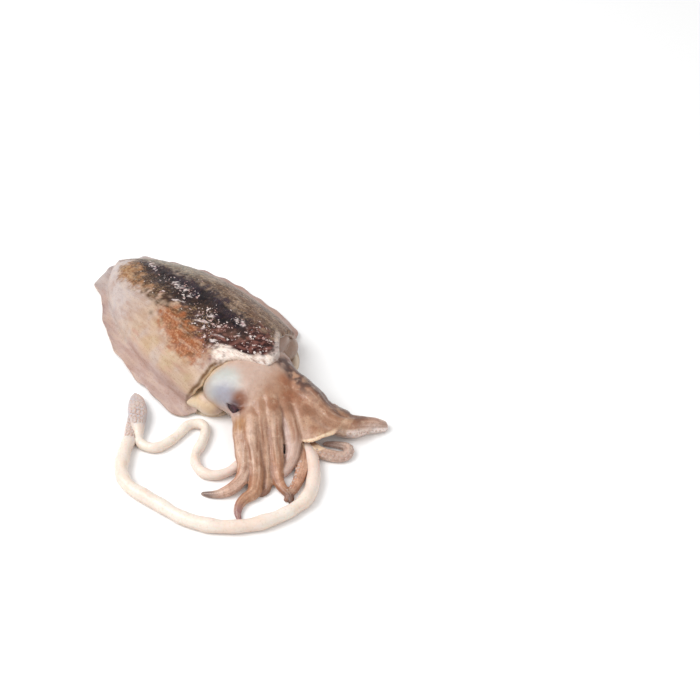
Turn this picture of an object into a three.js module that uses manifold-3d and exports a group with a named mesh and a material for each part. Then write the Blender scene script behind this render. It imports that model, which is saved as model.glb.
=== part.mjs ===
// A whole raw cuttlefish, lying on its belly with its head turned a little to its right.
// Millimetres. +X runs from tail to head, +Y is the animal's left and +Z is up. The origin is on the
// surface it lies on, under the middle of the body. All of the flesh is one piece, so it is one solid.
import * as THREE from "three";
import { mergeVertices } from "three/addons/utils/BufferGeometryUtils.js";
import Module from "manifold-3d";

const wasm = await Module();
wasm.setup();

// ---- Driving dimensions -------------------------------------------------------------------------

const MANTLE_LENGTH = 150; // along the back, from the tail to the tip of the tongue over the head
const MANTLE_HALF_WIDTH = 41.5; // of the body sac, without the fins
const MANTLE_HEIGHT = 33;
const TAIL_HEIGHT = 5;
const TAIL_X = -MANTLE_LENGTH / 2;

const RIM_SIDE_X = 51; // how far forward the sac's mouth reaches at the corners of its two lips
const UPPER_LIP = 4; // how much further the upper lip reaches above the corners
const TONGUE_LENGTH = 20; // how much further still the middle of the back reaches
const TONGUE_Y = 4;
const TONGUE_HALF_WIDTH = { left: 17, right: 12 };
const LOWER_LIP = 17; // how much further than the corners the lower lip reaches
const WALL = 3.6; // thickness of the sac's muscle
const MOUTH_DEPTH = 18; // how deep the open gap behind the lips goes

const FIN_REACH = 8.5; // beyond the sac's side
const FIN_TAIL_REACH = 3; // where the two fins come together
const TAIL_LOBE = { s: 0.07, spread: 0.045, left: 2, right: 5 }; // each fin's rounded lobe near the tail
const FIN_FRONT = { left: -4, right: 6 }; // how far in front of the mouth's corners the fins end
const FIN_ROOT_THICKNESS = 9;
const FIN_EDGE_THICKNESS = 1.3;
const FIN_RIPPLE = 0.9;
const FIN_RIPPLES = 6;

const HEAD = {
  x: 74, y: -5, z: 12, length: 66, width: 44, height: 30, heading: -13,
  slope: 0.35, // how much of its height over z it loses towards the arms
};
const EYE_BULGE = { right: 10, left: 4, up: 4 }; // how far each eye swells the side of the head
const EYE_RADIUS = 13; // of the swelling
const EYE_BACK = 8; // behind the middle of the head
const EYE_Z = 19;

// Each arm and tentacle is a chain of arcs: [length, turn in degrees], a turn to the left counting as
// positive. It leaves the head at root, z above the surface, and lies on the surface after `lands`,
// a share of its length. A taper of 1 thins it evenly, and a smaller one keeps it thick for longer.
const ARMS = [
  {
    root: [77, -15, 13], heading: -56, radius: 7.4, taper: 0.62, lands: 0.9,
    runs: [[16, 20], [29, 0], [35, -122]],
  },
  {
    root: [78, -12, 18], heading: -40, radius: 7.4, taper: 0.6, lands: 0.8,
    runs: [[48, 8], [13, -16], [6, -52], [19, 94]],
  },
  {
    root: [81, -9, 20], heading: -32, radius: 7, taper: 0.6, lands: 0.9,
    runs: [[58, -4], [8, -84]],
  },
  {
    root: [82, -4, 20.5], heading: -28, radius: 7.2, taper: 0.62, lands: 0.85,
    runs: [[33, -8], [20, 3], [15, 40], [7, -80]],
  },
  {
    root: [84, -2, 18.5], heading: -12, radius: 7, taper: 0.4, lands: 0.95,
    runs: [[31, -12], [27, -66]],
  },
  {
    root: [90, 1, 9], heading: -8, radius: 5.6, taper: 0.5, lands: 0.5,
    runs: [[26, -16], [46, -54]],
  },
  {
    root: [90, 5, 9], heading: -33, radius: 5.4, taper: 0.5, lands: 0.5,
    runs: [[20, 12], [34, 68], [13, 165], [12, 15]],
  },
  {
    root: [70, 8, 17], heading: 4, radius: 10.5, taper: 0.35, lands: 0.95,
    runs: [[48, 4], [15, 62], [20, -22]],
  },
];
const ARM_TIP = 0.9;
const ARM_FLATNESS = 0.86; // height over width

const WEB = {
  x: 70, y: 3, z: 20, // the middle that the skirt of skin spreads from
  from: -15, to: 24, // headings of its two sides
  reach: 60.5, lean: 1.5, // how far it goes, and how much further on its left than on its right
  rimZ: 13, rootThickness: 9, rimThickness: 2,
  droop: 4, // how much lower its two sides are at the rim than its middle
};

const TENTACLES = [
  {
    root: [98, -9, 6], heading: 18, radius: 3.9, lands: 0.08,
    runs: [[19, -22], [12, -20], [27, -33], [11, -30], [77, -80], [25, 2], [21, -54], [15, -14]],
    club: { length: 31, turn: 20, width: 9, thickness: 4, z: 2.2 },
  },
  {
    root: [94, -28, 7], heading: -26, radius: 2.9, lands: 0.12,
    runs: [[33, -82], [12, -65], [18, -72], [15, 22], [7, 79], [10, 74], [17, -23], [20, -124]],
    club: { length: 33, turn: 10, width: 11.5, thickness: 4.4, z: 5.4 },
  },
];

const FUNNEL = { x: 64, y: -8, length: 40, radius: 9, mouthRadius: 5, heading: -12, z: 5 };
const COLLAR = { x: 46, y: 3, halfLength: 20, halfWidth: 36, height: 29 };

// ---- Small helpers ------------------------------------------------------------------------------

const radians = THREE.MathUtils.degToRad;
const ease = (t) => THREE.MathUtils.smoothstep(t, 0, 1);
const mix = THREE.MathUtils.lerp;
// The cosine or sine of a superellipse: an exponent under 1 makes its outline squarer.
const squarer = (value, exponent) => Math.sign(value) * Math.abs(value) ** exponent;

// Moves every vertex of a closed geometry by a rule, and gives it back as a solid.
function bent(geometry, rule) {
  const position = geometry.getAttribute("position");
  const point = new THREE.Vector3();
  for (let i = 0; i < position.count; i++) {
    rule(point.fromBufferAttribute(position, i));
    position.setXYZ(i, point.x, point.y, point.z);
  }
  geometry.deleteAttribute("normal");
  geometry.deleteAttribute("uv");
  const merged = mergeVertices(geometry, 1e-3);
  return new wasm.Manifold(
    new wasm.Mesh({
      numProp: 3,
      vertProperties: merged.getAttribute("position").array,
      triVerts: new Uint32Array(merged.index.array),
    }),
  );
}

// A tube of `sides` and `steps` whose ring at t (0 to 1) and angle (0 is its side, 90 degrees its
// top) goes to place(t, angle, reach), where reach is 1 on the skin and 0 at the middle of an end.
function tube(sides, steps, place) {
  return bent(new THREE.CylinderGeometry(1, 1, 1, sides, steps), (p) => {
    const reach = Math.min(1, Math.hypot(p.x, p.z));
    p.copy(place(p.y + 0.5, Math.atan2(p.z, p.x), reach));
  });
}

// ---- The mantle: a sac with a muscle wall, open at the head ----------------------------------------

const SPREAD = 0.6; // share of a half wave that the sac's outline runs over from tail to mouth
const BLUNTNESS = 0.5; // 1 would make the tail a point

function mantleHalfWidth(s) {
  return MANTLE_HALF_WIDTH * Math.max(0, Math.sin(Math.PI * SPREAD * s)) ** BLUNTNESS;
}

function mantleTop(s) {
  const swell = Math.max(0, Math.sin(Math.PI * (0.02 + 0.564 * s))) ** 0.8;
  return mix(TAIL_HEIGHT, MANTLE_HEIGHT, swell);
}

const sideHeight = (s) => 0.22 * mantleTop(s); // where the sac is widest, and the fins grow

// How far forward the mouth reaches, at an angle round the sac from its right (0) over its top.
function rimX(angle) {
  const y = -mantleHalfWidth(1) * Math.cos(angle) - TONGUE_Y;
  const rise = Math.sin(angle);
  if (rise < 0) return RIM_SIDE_X + LOWER_LIP * ease(-rise * 1.3);
  const halfWidth = y > 0 ? TONGUE_HALF_WIDTH.left : TONGUE_HALF_WIDTH.right;
  const tongue = Math.exp(-((Math.abs(y) / halfWidth) ** 2.2));
  return RIM_SIDE_X + UPPER_LIP * ease(rise * 2) + TONGUE_LENGTH * tongue;
}

// A point of the sac's skin, or of a layer `depth` inside it.
function mantlePoint(s, angle, depth = 0) {
  const side = sideHeight(s);
  const across = Math.cos(angle) * Math.max(0, mantleHalfWidth(s) - depth);
  const above = Math.sin(angle) > 0;
  const rise = above ? mantleTop(s) - side - depth : side + 1 - depth;
  const up = squarer(Math.sin(angle), above ? 0.95 : 0.6) * Math.max(0, rise);
  return new THREE.Vector3(mix(TAIL_X, rimX(angle), s), -across, side + up);
}

function mantle() {
  const skin = 0.78; // share of the steps on the outer skin; the rest turn over the lip and go inside
  const depthShare = MOUTH_DEPTH / (RIM_SIDE_X - TAIL_X);
  return tube(44, 26, (t, angle, reach) => {
    if (t <= skin) {
      const s = (t / skin) ** 1.5;
      return reach < 0.5 ? new THREE.Vector3(TAIL_X, 0, sideHeight(0)) : mantlePoint(s, angle);
    }
    const inward = (t - skin) / (1 - skin);
    const s = 1 - depthShare * ease(inward);
    if (reach < 0.5) return new THREE.Vector3(mix(TAIL_X, RIM_SIDE_X, s), 0, sideHeight(1));
    const lip = Math.min(1, inward * 3);
    const point = mantlePoint(s, angle, WALL * Math.sin((lip * Math.PI) / 2));
    point.x += 1.2 * Math.sin(lip * Math.PI);
    return point;
  });
}

// ---- The fins: a thin rippled ribbon along each side ------------------------------------------------

function fin(side) {
  const root = 4; // how deep the ribbon's root sits in the sac
  const outline = (s) => {
    const x = mix(TAIL_X, RIM_SIDE_X + FIN_FRONT[side > 0 ? "left" : "right"], s);
    return new THREE.Vector2(x, side * mantleHalfWidth((x - TAIL_X) / (RIM_SIDE_X - TAIL_X)));
  };
  return bent(new THREE.BoxGeometry(1, 1, 1, 42, 3, 1), (p) => {
    const along = p.x + 0.5;
    const out = p.y + 0.5;
    const s = mix(0.002, 1, along ** 1.7);
    const at = outline(s);
    const step = 0.002;
    const tangent = outline(s + step).sub(outline(Math.max(0, s - step))).normalize();
    const normal = new THREE.Vector2(-tangent.y, tangent.x).multiplyScalar(side);
    const lobeSize = TAIL_LOBE[side > 0 ? "left" : "right"];
    const lobe = lobeSize * Math.exp(-(((s - TAIL_LOBE.s) / TAIL_LOBE.spread) ** 2));
    const front = Math.sqrt(Math.min(1, 0.1 + (1 - s) * 12));
    const reach = (mix(FIN_TAIL_REACH, FIN_REACH, ease(Math.min(1, s * 2))) + lobe) * front;
    const away = -root + (root + reach) * out;
    const ripple = FIN_RIPPLE * Math.sin(along * FIN_RIPPLES * 2 * Math.PI + side) * out * out;
    const level = mix(sideHeight(s) * 0.6, 1.6, ease(out)) + ripple;
    const rootThickness = (FIN_ROOT_THICKNESS * mantleTop(s) * mix(0.35, 1, front)) / MANTLE_HEIGHT;
    const thickness = mix(rootThickness, FIN_EDGE_THICKNESS, out ** 0.6);
    const upper = side * p.z; // keeps the faces pointing outwards on the mirrored side
    p.set(at.x + normal.x * away, at.y + normal.y * away, level + thickness * upper);
  });
}

// ---- The head with its eyes, and the funnel and collar under it -------------------------------------

function headPoint(forward, left, z) {
  const turn = radians(HEAD.heading);
  return new THREE.Vector3(
    HEAD.x + forward * Math.cos(turn) - left * Math.sin(turn),
    HEAD.y + forward * Math.sin(turn) + left * Math.cos(turn),
    z,
  );
}

function head() {
  return bent(new THREE.SphereGeometry(1, 28, 18), (p) => {
    const forward = squarer(p.y, 0.9) * (HEAD.length / 2);
    const left = -squarer(p.x, 0.9) * (HEAD.width / 2);
    const slope = 1 - HEAD.slope * ease(Math.max(0, p.y));
    const z = HEAD.z + p.z * (p.z > 0 ? (HEAD.height - HEAD.z) * slope : HEAD.z + 1);
    const eyeDistance = Math.hypot(forward + EYE_BACK, Math.abs(left) - HEAD.width / 2, z - EYE_Z);
    const swell = Math.exp(-((eyeDistance / EYE_RADIUS) ** 2));
    const bulge = left > 0 ? EYE_BULGE.left : -EYE_BULGE.right;
    p.copy(headPoint(forward, left + bulge * swell, z + EYE_BULGE.up * swell * p.z));
  });
}

function funnel() {
  const turn = radians(FUNNEL.heading);
  return tube(14, 6, (t, angle, reach) => {
    const radius = mix(FUNNEL.radius, FUNNEL.mouthRadius, ease(t)) * reach;
    const forward = (t - 0.5) * FUNNEL.length;
    const left = -Math.cos(angle) * radius * 1.25;
    return new THREE.Vector3(
      FUNNEL.x + forward * Math.cos(turn) - left * Math.sin(turn),
      FUNNEL.y + forward * Math.sin(turn) + left * Math.cos(turn),
      FUNNEL.z + Math.sin(angle) * radius * 0.7,
    );
  });
}

// The soft collar that fills the sac's mouth behind the head.
function collar() {
  return bent(new THREE.SphereGeometry(1, 20, 8), (p) => {
    const half = COLLAR.height / 2;
    p.set(COLLAR.x + p.x * COLLAR.halfLength, COLLAR.y + p.y * COLLAR.halfWidth, half + p.z * half);
  });
}

// ---- Arms, tentacles and the skirt between the arms -------------------------------------------------

const limbLength = (limb) => limb.runs.reduce((sum, [length]) => sum + length, 0);

// Where a limb's middle line is after `distance`, and which way it heads there.
function alongLimb(limb, distance) {
  let [x, y] = limb.root;
  let heading = radians(limb.heading);
  for (const [length, turn] of limb.runs) {
    const gone = Math.min(distance, length);
    const turned = (radians(turn) * gone) / length;
    const chord = turned === 0 ? gone : (gone * Math.sin(turned / 2)) / (turned / 2);
    x += chord * Math.cos(heading + turned / 2);
    y += chord * Math.sin(heading + turned / 2);
    heading += turned;
    distance -= gone;
    if (distance <= 0) break;
  }
  return { x, y, heading };
}

// A round limb, with its half width and half height at t given by girth(t), and its middle's height
// by level(t).
function limb(path, sides, steps, girth, level) {
  const length = limbLength(path);
  return tube(sides, steps, (t, angle, reach) => {
    const { x, y, heading } = alongLimb(path, t * length);
    const [halfWidth, halfHeight] = girth(t);
    const across = Math.cos(angle) * halfWidth * reach;
    return new THREE.Vector3(
      x + across * Math.sin(heading),
      y - across * Math.cos(heading),
      level(t) + Math.sin(angle) * halfHeight * reach,
    );
  });
}

function arm(path) {
  const radius = (t) => ARM_TIP + (path.radius - ARM_TIP) * Math.max(0, 1 - t) ** path.taper;
  const girth = (t) => [radius(t), radius(t) * ARM_FLATNESS];
  const lying = (t) => radius(t) * ARM_FLATNESS * 0.85;
  const level = (t) => mix(path.root[2], lying(t), ease(Math.min(1, t / path.lands)));
  return limb(path, 10, 18, girth, level);
}

// A tentacle's stalk, and the flat blade of its club as one more arc past the stalk's end.
function tentacle(path) {
  const stalkLength = limbLength(path);
  const { club } = path;
  const whole = { ...path, runs: [...path.runs, [club.length, club.turn]] };
  const share = stalkLength / limbLength(whole);
  const girth = (t) => {
    if (t <= share) return [path.radius, path.radius];
    const u = (t - share) / (1 - share);
    const swell = ease(Math.min(1, u / 0.55));
    const point = Math.max(0, 1 - u ** 5) ** 0.6;
    return [
      Math.max(0.7, mix(path.radius, club.width / 2, swell) * point),
      Math.max(0.6, mix(path.radius, club.thickness / 2, swell) * point),
    ];
  };
  const level = (t) => {
    const lying = path.radius * 0.9;
    if (t <= share) return mix(path.root[2], lying, ease(Math.min(1, t / share / path.lands)));
    const u = (t - share) / (1 - share);
    const hump = Math.sin(Math.PI * Math.min(1, u / 0.9)) ** 2;
    return mix(lying, club.z, (hump + ease(Math.min(1, u * 4))) / 2);
  };
  return limb(whole, 8, Math.round(limbLength(whole) / 4), girth, level);
}

function web() {
  return bent(new THREE.BoxGeometry(1, 1, 1, 8, 10, 1), (p) => {
    const out = p.x + 0.5;
    const round = p.y + 0.5;
    const heading = radians(mix(WEB.from, WEB.to, round));
    const reach = (WEB.reach + WEB.lean * (round - 0.5) * 2) * (1 - 0.1 * (2 * round - 1) ** 4);
    const distance = reach * mix(0.05, 1, out);
    const droop = WEB.droop * out * (2 * round - 1) ** 2;
    const middle = mix(WEB.z, WEB.rimZ, out ** 1.6) - droop;
    const thickness = mix(WEB.rootThickness, WEB.rimThickness, out);
    p.set(
      WEB.x + distance * Math.cos(heading),
      WEB.y + distance * Math.sin(heading),
      middle + p.z * thickness,
    );
  });
}

// ---- The whole animal, pressed flat where it lies on the surface -------------------------------------

function wholeAnimal() {
  const pieces = [
    mantle(),
    fin(1),
    fin(-1),
    head(),
    funnel(),
    collar(),
    ...ARMS.map(arm),
    web(),
    ...TENTACLES.map(tentacle),
  ];
  const under = bent(new THREE.BoxGeometry(600, 600, 60), (p) => {
    p.z -= 30;
  });
  return pieces.reduce((whole, piece) => whole.add(piece)).subtract(under);
}

function meshOf(solid, name, material) {
  const { numProp, numVert, vertProperties, triVerts } = solid.getMesh();
  const positions = new Float32Array(numVert * 3);
  for (let i = 0; i < numVert; i++) {
    positions.set(vertProperties.subarray(i * numProp, i * numProp + 3), i * 3);
  }
  const geometry = new THREE.BufferGeometry();
  geometry.setAttribute("position", new THREE.BufferAttribute(positions, 3));
  geometry.setIndex(new THREE.BufferAttribute(triVerts, 1));
  geometry.computeVertexNormals();
  const mesh = new THREE.Mesh(geometry, material);
  mesh.name = name;
  return mesh;
}

const skin = new THREE.MeshStandardMaterial({ color: 0x9a7460, roughness: 0.35, metalness: 0 });

const cuttlefish = new THREE.Group();
cuttlefish.add(meshOf(wholeAnimal(), "cuttlefish", skin));

export default cuttlefish;
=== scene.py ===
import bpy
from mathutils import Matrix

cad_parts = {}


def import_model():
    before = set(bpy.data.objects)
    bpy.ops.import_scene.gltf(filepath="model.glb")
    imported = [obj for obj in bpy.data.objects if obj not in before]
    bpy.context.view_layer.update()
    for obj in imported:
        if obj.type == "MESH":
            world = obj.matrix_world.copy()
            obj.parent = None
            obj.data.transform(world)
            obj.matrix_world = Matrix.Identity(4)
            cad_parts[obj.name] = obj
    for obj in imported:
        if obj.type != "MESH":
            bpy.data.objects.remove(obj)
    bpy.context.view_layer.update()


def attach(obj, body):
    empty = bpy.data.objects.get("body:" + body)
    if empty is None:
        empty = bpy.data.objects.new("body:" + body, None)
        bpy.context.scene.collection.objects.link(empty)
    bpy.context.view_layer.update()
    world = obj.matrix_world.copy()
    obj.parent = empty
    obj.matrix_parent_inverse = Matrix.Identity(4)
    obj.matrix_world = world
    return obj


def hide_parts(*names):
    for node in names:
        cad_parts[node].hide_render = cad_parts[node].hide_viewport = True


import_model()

import math

import bpy
import numpy as np
from mathutils import Vector, noise
from mathutils.bvhtree import BVHTree

# ---- The view, the floor and the light --------------------
# A pale matt floor under soft studio light. The camera looks down at 45 degrees on the animal's
# right front side, and its picture is square.

CAMERA_PLACE = Vector((0.5975, -0.3803, 0.6857))
CAMERA_AIM = Vector((0.0755, 0.0644, 0.0))
CAMERA_LENS, CAMERA_SENSOR = 82.29, 36.0
FLOOR_SIZE, FLOOR_WHITE, FLOOR_ROUGHNESS = 6.0, 0.98, 0.85
LAMP_AIM = (0.02, 0, 0)
LAMPS = [
    # place, how wide, how strong
    ((-0.45, -0.70, 1.10), 0.9, 14.5),
    ((0.80, 0.05, 1.10), 0.9, 3.0),
]
SKY_STRENGTH = 0.6

bpy.ops.object.select_all(action="DESELECT")


def facing(place, aim):
    """The turn of a camera or lamp that stands at one place and points at another."""
    return (Vector(aim) - Vector(place)).to_track_quat("-Z", "Y").to_euler()


bpy.ops.object.camera_add(location=CAMERA_PLACE, rotation=facing(CAMERA_PLACE, CAMERA_AIM))
camera = bpy.context.object
camera.data.sensor_width = CAMERA_SENSOR
camera.data.lens = CAMERA_LENS
bpy.context.scene.camera = camera
bpy.context.scene.view_settings.view_transform = "Standard"

bpy.ops.mesh.primitive_plane_add(size=FLOOR_SIZE)
floor = bpy.context.object
floor.name = "floor"
paper = bpy.data.materials.new("white_paper")
paper.use_nodes = True
paper_inputs = paper.node_tree.nodes["Principled BSDF"].inputs
paper_inputs["Base Color"].default_value = (FLOOR_WHITE, FLOOR_WHITE, FLOOR_WHITE, 1)
paper_inputs["Roughness"].default_value = FLOOR_ROUGHNESS
floor.data.materials.append(paper)

for place, width, strength in LAMPS:
    bpy.ops.object.light_add(type="AREA", location=place, rotation=facing(place, LAMP_AIM))
    lamp = bpy.context.object
    lamp.data.size = width
    lamp.data.energy = strength

sky = bpy.data.worlds.new("soft_white")
sky.use_nodes = True
sky.node_tree.nodes["Background"].inputs["Color"].default_value = (1.0, 1.0, 1.0, 1)
sky.node_tree.nodes["Background"].inputs["Strength"].default_value = SKY_STRENGTH
bpy.context.scene.world = sky

# ---- The body sac with its fins --------------------
# A thick sac of muscle, open at the head, its wall turned inwards at the lip. A thin rippled fin
# runs along each side. The skin over the back is dark, worn and flecked, and paler on the flanks.

MM = 0.001
MANTLE_LENGTH, MANTLE_HALF_WIDTH, MANTLE_HEIGHT = 150.0, 41.5, 33.0
TAIL_X, TAIL_HEIGHT = -MANTLE_LENGTH / 2, 5.0
SPREAD, BLUNTNESS = 0.6, 0.5
RIM_SIDE_X = 51.0
UPPER_LIP, LOWER_LIP = 4.0, 17.0
TONGUE_LENGTH, TONGUE_Y, TONGUE_LEFT, TONGUE_RIGHT = 21.0, 4.0, 17.0, 12.0
WALL, MOUTH_DEPTH, LIP_ROLL = 3.4, 8.0, 1.5
FIN_SHARE = 0.22  # of each half of the top's columns
FIN_REACH, FIN_TAIL_REACH, FIN_EDGE = 8.5, 3.0, 1.2
FIN_ROOT_TOP, FIN_ROOT_UNDER = 0.2, 0.035  # of the sac's height
LOBE_S, LOBE_SPREAD, LOBE_LEFT, LOBE_RIGHT = 0.07, 0.045, 2.0, 5.0
MEMBRANE_X, MEMBRANE_Z = 54.0, 12.0
SKIN_ROWS, LIP_ROWS, INNER_ROWS = 220, 8, 24
TOP_COLUMNS, UNDER_COLUMNS = 240, 72
CREASE_ROUNDS = 16
MEETING = 0.00001


def ease(t):
    t = np.clip(t, 0.0, 1.0)
    return t * t * (3 - 2 * t)


def after(x, start, width):
    """0 up to a start and 1 from a width beyond it."""
    return ease((x - start) / width)


def before(x, start, width):
    """1 up to a start and 0 from a width beyond it."""
    return 1 - after(x, start, width)


def between(x, low, high, soft):
    """1 where x lies from low to high, falling to 0 over a soft edge on both sides."""
    return ease((x - low) / soft + 0.5) * ease((high - x) / soft + 0.5)


def mix(a, b, t):
    return a + (b - a) * t


def paint(red, green, blue):
    """A colour as a screen shows it, 0 to 255, turned to the light it stands for."""
    shown = np.array([red, green, blue]) / 255.0
    return np.where(shown <= 0.04045, shown / 12.92, ((shown + 0.055) / 1.055) ** 2.4)


def layered(tint, *coats):
    """A colour with others laid over it in turn, each by its share at each point."""
    for colour, share in coats:
        tint = tint + (colour - tint) * np.asarray(share)[..., None]
    return tint


def ripple_noise(points, size, seed=0.0):
    """Smooth noise from -1 to 1 at each point, both in millimetres."""
    scaled = np.asarray(points).reshape(-1, 3) / size + seed
    found = np.array([noise.noise(Vector(p)) for p in scaled])
    return found.reshape(np.shape(points)[:-1])


def lumpy(points, *layers):
    """Noise of several kinds added up, each by its size, seed and height."""
    return sum(ripple_noise(points, size, seed) * height for size, seed, height in layers)


def corners_of(piece):
    """A mesh's vertices as it keeps them."""
    corners = np.empty(len(piece.data.vertices) * 3)
    piece.data.vertices.foreach_get("co", corners)
    return corners.reshape(-1, 3)


def put(piece, place):
    """Moves a piece's vertices to places in millimetres."""
    piece.data.vertices.foreach_set("co", (place * MM).ravel())
    piece.data.update()


def write_colours(piece, name, values):
    """Keeps up to four numbers at each vertex under a name. A number left out is 1."""
    filled = np.ones((len(values), 4), np.float32)
    filled[:, :values.shape[1]] = values
    layer = piece.data.attributes.new(name, "FLOAT_COLOR", "POINT")
    layer.data.foreach_set("color", filled.ravel())


def skin_over(name, points, marks):
    """A piece from rows and columns of points in millimetres. Points that meet are merged."""
    rows, columns = points.shape[:2]
    bpy.ops.object.select_all(action="DESELECT")
    bpy.ops.mesh.primitive_grid_add(x_subdivisions=rows - 1, y_subdivisions=columns - 1, size=2.0)
    piece = bpy.context.object
    piece.name = piece.data.name = name
    flat = corners_of(piece)
    row = np.rint((flat[:, 0] + 1) / 2 * (rows - 1)).astype(int)
    column = np.rint((flat[:, 1] + 1) / 2 * (columns - 1)).astype(int)
    put(piece, points[row, column])
    for mark, values in marks.items():
        write_colours(piece, mark, values[row, column])
    bpy.ops.object.mode_set(mode="EDIT")
    bpy.ops.mesh.select_all(action="SELECT")
    bpy.ops.mesh.remove_doubles(threshold=MEETING)
    bpy.ops.mesh.normals_make_consistent(inside=False)
    bpy.ops.object.mode_set(mode="OBJECT")
    bpy.ops.object.shade_smooth()
    return piece


def sac_half_width(s):
    return MANTLE_HALF_WIDTH * np.maximum(0, np.sin(np.pi * SPREAD * s)) ** BLUNTNESS


def sac_top(s):
    swell = np.maximum(0, np.sin(np.pi * (0.02 + 0.564 * s))) ** 0.8
    return mix(TAIL_HEIGHT, MANTLE_HEIGHT, swell)


def rim_x(angle):
    """How far forward the mouth reaches, at an angle round the sac from its right over its top."""
    across = -MANTLE_HALF_WIDTH * 0.975 * np.cos(angle) - TONGUE_Y
    rise = np.sin(angle)
    lower = RIM_SIDE_X + LOWER_LIP * ease(-rise * 1.3)
    narrow = np.where(across > 0, TONGUE_LEFT, TONGUE_RIGHT)
    tongue = np.exp(-((np.abs(across) / narrow) ** 2.4))
    upper = RIM_SIDE_X + UPPER_LIP * ease(rise * 2) + TONGUE_LENGTH * tongue
    return np.where(rise < 0, lower, upper)


# Row by row: how far along the sac (s), how far over the lip, and how far in behind it.
steps = np.arange(SKIN_ROWS + LIP_ROWS + INNER_ROWS + 1)
s_of_row = np.clip(steps / SKIN_ROWS, 0, 1) ** 1.5
lip_of_row = np.clip((steps - SKIN_ROWS) / LIP_ROWS, 0, 1)
inner_of_row = np.clip((steps - SKIN_ROWS - LIP_ROWS) / INNER_ROWS, 0, 1)
back_of_row = np.sin(np.minimum(1, inner_of_row / 0.5) * np.pi / 2)
s_of_row = s_of_row - MOUTH_DEPTH / (RIM_SIDE_X - TAIL_X) * back_of_row

# Column by column: over the top from the right fin's edge (-1) to the left's (1), and back under.
over = np.linspace(-1, 1, TOP_COLUMNS + 1)
under = np.linspace(1, -1, UNDER_COLUMNS + 1)[1:]
q_of_column = np.concatenate([over, under])
is_top = np.concatenate([np.ones(TOP_COLUMNS + 1), np.zeros(UNDER_COLUMNS)])

s, q = np.meshgrid(s_of_row, q_of_column, indexing="ij")
lip = np.repeat(lip_of_row[:, None], len(q_of_column), 1)
inner = np.repeat(inner_of_row[:, None], len(q_of_column), 1)
top_side = np.repeat(is_top[None, :], len(steps), 0) > 0.5
side = np.where(q < 0, -1.0, 1.0)
fin = np.clip((np.abs(q) - (1 - FIN_SHARE)) / FIN_SHARE, 0, 1)
body = np.clip(np.abs(q) / (1 - FIN_SHARE), 0, 1)
elevation = (1 - body) * np.pi / 2
angle = np.where(side < 0, elevation, np.pi - elevation)
round_sac = np.degrees(angle)

half_width = sac_half_width(s)
top = sac_top(s)
root_high = FIN_ROOT_TOP * top
root_low = FIN_ROOT_UNDER * top
depth = WALL * np.sin(lip * np.pi / 2)
forward = np.where(top_side, rim_x(angle), rim_x(-angle))
lip_wave = 0.5 * np.sin(round_sac * 0.19 + 1.0) + 0.35 * np.sin(round_sac * 0.43)
lip_wave = lip_wave * after(s, 0.9, 0.1) * top_side
x = mix(TAIL_X, forward + lip_wave, s) + LIP_ROLL * np.sin(lip * np.pi)
y = side * np.cos(elevation) * np.maximum(0, half_width - depth)
rise = np.sin(elevation)
z_top = root_high + (top - depth - root_high) * rise ** 0.95
z_under = root_low * np.cos(elevation) ** 6 + depth * 0.6 * ease(lip)
z = np.where(top_side, z_top, z_under)

# The fins, outwards from the sac's side outline.
STEP = 0.002
ahead, behind = s + STEP, np.maximum(0, s - STEP)
along_x = (ahead - behind) * (RIM_SIDE_X - TAIL_X)
along_y = sac_half_width(ahead) - sac_half_width(behind)
length = np.hypot(along_x, along_y)
normal_x, normal_y = -along_y / length, side * along_x / length
lobe = np.where(side > 0, LOBE_LEFT, LOBE_RIGHT) * np.exp(-(((s - LOBE_S) / LOBE_SPREAD) ** 2))
fin_s = np.where(inner > 0, 1.0, s)
front = np.sqrt(np.clip(1 - ((fin_s - 0.93) / 0.07).clip(0) ** 2, 0, 1))
wander = 0.4 * np.sin(s * 31 + side) + 0.3 * np.sin(s * 57 + 2 * side)
reach = (mix(FIN_TAIL_REACH, FIN_REACH, ease(s * 2)) + lobe + wander * ease(s * 8)) * front
front_shift = np.where(side > 0, -2.0, 6.0) * after(fin_s, 0.86, 0.14) * fin
ripple = (0.8 * np.sin(s ** 0.6 * 38 + side) + 0.45 * np.sin(s ** 0.6 * 71 + side * 2)) * fin ** 2
z_fin = mix(root_high, FIN_EDGE + 1.4, fin ** 0.75) + ripple * front * 0.8 + 0.4 * fin * front
thick = mix(root_high - root_low, FIN_EDGE, fin ** 0.5)
z_fin = np.where(top_side, z_fin, np.maximum(0, z_fin - thick))
in_fin = fin > 0
x = np.where(in_fin, x + normal_x * reach * fin + front_shift, x)
y = np.where(in_fin, y + normal_y * reach * fin, y)
z = np.where(in_fin, mix(z_fin, mix(root_high, root_low, ~top_side), ease(lip)), z)

# Both edges of a fin meet, and a soft membrane closes the sac behind its lips.
closing = after(inner, 0.3, 0.7)
points = np.stack([mix(x, MEMBRANE_X, closing), mix(y, 0.0, closing), mix(z, MEMBRANE_Z, closing)], -1)
edge = np.abs(q) > 0.9999
points[edge, 2] = np.maximum(points[edge, 2], 0.5)
points[:, 0] = points[:, -1] = (points[:, 0] + points[:, -1]) / 2

# The crease where each fin leaves the flank is rounded.
crease = np.exp(-(((np.abs(q) - (1 - FIN_SHARE)) / 0.06) ** 2)) * (s > 0) * top_side
crease[:, [0, -1]] = 0
for _ in range(CREASE_ROUNDS):
    around = (np.roll(points, 1, 1) + np.roll(points, -1, 1)) / 2
    points = points + (around - points) * crease[..., None] * 0.6


def patch(at_s, at_degrees, long_s, wide_degrees):
    """1 in the middle of an oval patch of the sac's skin, falling to 0 round it."""
    return np.exp(-((s - at_s) / long_s) ** 2 - ((round_sac - at_degrees) / wide_degrees) ** 2)


def blotch(size, seed, drawn_out=1.0):
    """Noise of about -1 to 1 over the sac, drawn out along the body."""
    return np.clip(ripple_noise(points * [1 / drawn_out, 1, 1], size, seed) * 3, -1, 1)


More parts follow.
